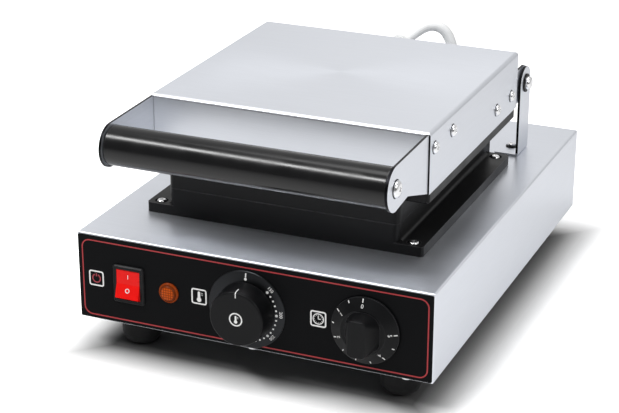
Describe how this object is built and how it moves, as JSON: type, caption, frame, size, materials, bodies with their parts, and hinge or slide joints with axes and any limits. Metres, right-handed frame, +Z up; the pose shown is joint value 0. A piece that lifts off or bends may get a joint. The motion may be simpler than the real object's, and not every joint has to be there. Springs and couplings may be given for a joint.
{
  "type": "countertop waffle maker",
  "caption": "Countertop waffle maker with a steel housing, black cast waffle plates, a hinged lid with a front handle, rocker switch, pilot light, temperature knob and timer.",
  "frame": {"origin": "on the worktop, under the middle of the whole machine's box", "axes": "+Z up, -Y towards the user and the control panel, +X to the user's right"},
  "size_m": [0.29, 0.4084, 0.1984],
  "materials": {
    "stainless": "fine brushed",
    "overlay": "satin black film with a thin red border",
    "rubber": "matt moulded",
    "fasteners": "bright zinc",
    "casting": "black non-stick coating",
    "heater_steel": "heat-tinted",
    "plated_steel": "plain zinc",
    "fibre_board": "pressed ceramic fibre",
    "dark_washer": "black oxide",
    "control_plastic": "satin moulded",
    "handle_plastic": "glossy moulded",
    "rocker_red": "translucent moulded",
    "pilot_amber": "faceted lens",
    "dial_metal": "dark satin anodised",
    "control_metal": "pressed steel case",
    "ceramic": "white heat-proof",
    "gland_plastic": "satin moulded",
    "sleeve": "white heat-proof braid"
  },
  "bodies": {
    "base": {"base_shell": "stainless", "control_overlay": "overlay", "back_panel": "stainless", "bottom_plate": "stainless", "foot_front_left": "rubber", "foot_front_right": "rubber", "foot_rear_left": "rubber", "foot_rear_right": "rubber", "foot_bolts": "fasteners", "bottom_screws": "fasteners", "back_panel_screws": "fasteners", "lower_casting": "casting", "lower_casting_screws": "fasteners", "lower_heater": "heater_steel", "lower_heater_clamp": "plated_steel", "lower_clamp_screws": "fasteners", "lower_insulation": "fibre_board", "lower_heat_shield": "plated_steel", "hinge_bracket_left": "stainless", "hinge_bracket_right": "stainless", "hinge_bracket_screws": "fasteners", "hinge_bolt_left": "fasteners", "hinge_bolt_right": "fasteners", "hinge_washers": "dark_washer", "hinge_shims": "ceramic", "hinge_nuts": "fasteners", "switch_body": "control_plastic", "pilot_lens": "pilot_amber", "pilot_body": "control_plastic", "thermostat_body": "control_metal", "dial_ring": "dial_metal", "timer_body": "control_plastic", "terminal_block": "ceramic", "mains_gland": "gland_plastic", "mains_gland_nut": "gland_plastic", "conduit_grommet": "rubber", "lid_conduit": "sleeve"},
    "lid": {"lid_shell": "stainless", "upper_casting": "casting", "upper_heater": "heater_steel", "upper_heater_clamp": "plated_steel", "upper_clamp_screws": "fasteners", "lid_insulation": "fibre_board", "lid_mount_screws": "fasteners", "lid_side_screws": "fasteners", "handle_bracket_left": "stainless", "handle_bracket_right": "stainless", "hinge_ear_left": "stainless", "hinge_ear_right": "stainless", "handle_tube": "handle_plastic", "handle_rod": "fasteners", "handle_screws": "fasteners", "lid_conduit_gland": "gland_plastic", "lid_gland_nut": "gland_plastic"},
    "rocker": {"switch_rocker": "rocker_red"},
    "temperature_control": {"temperature_knob": "control_plastic", "thermostat_shaft": "plated_steel"},
    "timer_control": {"timer_knob": "control_plastic", "timer_shaft": "plated_steel"}
  },
  "joints": [
    {"name": "lid_hinge", "type": "hinge", "parent": "base", "child": "lid", "pos_m": [0, 0.11865, 0.161], "axis": [-1, 0, 0], "range_deg": [0, 95], "deforming": ["lid_conduit"]},
    {"name": "rocker_tilt", "type": "hinge", "parent": "base", "child": "rocker", "pos_m": [-0.101, -0.18295, 0.0621], "axis": [1, 0, 0], "range_deg": [0, 20]},
    {"name": "temperature_turn", "type": "hinge", "parent": "base", "child": "temperature_control", "pos_m": [-0.0021, -0.19375, 0.06], "axis": [0, 1, 0], "range_deg": [0, 290]},
    {"name": "timer_turn", "type": "hinge", "parent": "base", "child": "timer_control", "pos_m": [0.093, -0.19375, 0.0617], "axis": [0, 1, 0], "range_deg": [0, 270]}
  ]
}
